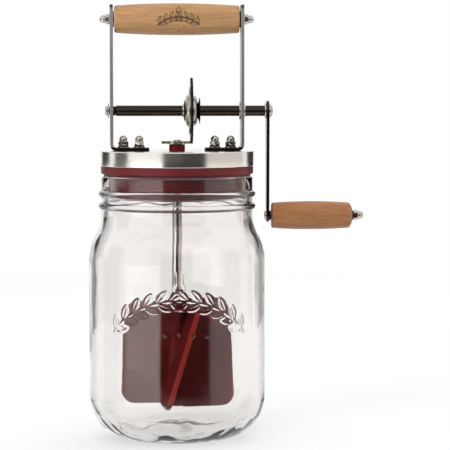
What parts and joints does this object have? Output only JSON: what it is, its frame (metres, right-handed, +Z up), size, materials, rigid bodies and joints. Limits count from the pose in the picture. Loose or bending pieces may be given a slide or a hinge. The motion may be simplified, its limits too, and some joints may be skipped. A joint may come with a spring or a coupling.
{
  "type": "butter churn",
  "caption": "Hand-cranked glass-jar butter churn: lift-off lid with straps, carrying grip and gearing that turns a bladed paddle inside the jar.",
  "frame": {"origin": "centre of the jar's flat base, on the surface it stands on", "axes": "+Z up along the jar's axis; +X along the crank shaft towards the crank arm; the straps and the carrying grip lie in the X-Z plane"},
  "size_m": [0.1686, 0.108, 0.2657],
  "materials": {
    "clear_glass": "clear, gloss",
    "brushed_lid_steel": "brushed round the lid",
    "strap_steel": "satin",
    "polished_steel": "polished",
    "dark_polished_steel": "polished, dark",
    "gear_steel": "stamped, zinc plated",
    "dark_steel": "dark, satin",
    "pale_steel": "satin",
    "burgundy_silicone": "satin",
    "burgundy_plastic": "semi-gloss",
    "black_plastic": "matt",
    "pale_beech": "sealed, satin",
    "warm_beech": "sealed, satin"
  },
  "bodies": {
    "jar": {"glass_jar": "clear_glass"},
    "lid": {"lid_cap": "brushed_lid_steel", "lid_seal": "burgundy_silicone", "shaft_bush": "burgundy_plastic", "left_strap": "strap_steel", "right_strap": "strap_steel", "foot_bolts": "polished_steel", "foot_washers": "polished_steel", "foot_lock_washers": "dark_steel", "foot_acorn_nuts": "polished_steel", "left_bearing": "dark_steel", "right_bearing": "pale_steel", "grip_rod": "polished_steel", "grip_end_washers": "black_plastic", "grip_acorn_nuts": "polished_steel"},
    "carrying_grip": {"carry_grip": "pale_beech"},
    "crank": {"crank_shaft": "dark_polished_steel", "shaft_end_washer": "polished_steel", "drive_gear": "dark_steel", "gear_backing_disc": "gear_steel", "left_hub_dome": "gear_steel", "left_hub_flange": "dark_steel", "hub_collar": "pale_steel", "right_hub_dome": "gear_steel", "right_hub_flange": "dark_steel", "arm_washer": "pale_steel", "crank_arm": "dark_polished_steel", "arm_cap": "polished_steel", "crank_spindle": "polished_steel", "spindle_collar": "dark_steel", "crank_end_washer": "dark_steel", "crank_acorn_nut": "polished_steel"},
    "crank_handle": {"crank_grip": "warm_beech"},
    "dasher": {"pinion_gear": "gear_steel", "paddle_shaft": "polished_steel", "shaft_clip": "gear_steel", "paddle": "burgundy_plastic", "paddle_pin": "polished_steel"}
  },
  "joints": [
    {"name": "lid_lift", "type": "slide", "parent": "jar", "child": "lid", "axis": [0, 0, 1], "range_m": [0, 0.15]},
    {"name": "crank_turn", "type": "hinge", "parent": "lid", "child": "crank", "pos_m": [0, 0, 0.20028], "axis": [1, 0, 0], "continuous": true},
    {"name": "dasher_spin", "type": "hinge", "parent": "lid", "child": "dasher", "pos_m": [0, 0, 0.1], "axis": [0, 0, 1], "continuous": true},
    {"name": "crank_grip_spin", "type": "hinge", "parent": "crank", "child": "crank_handle", "pos_m": [0.08, 0, 0.13618], "axis": [1, 0, 0], "continuous": true},
    {"name": "carry_grip_spin", "type": "hinge", "parent": "lid", "child": "carrying_grip", "pos_m": [0, 0, 0.256], "axis": [1, 0, 0], "continuous": true}
  ],
  "couplings": [
    {"joint": "dasher_spin", "follows": "crank_turn", "ratio": 2.1667}
  ]
}
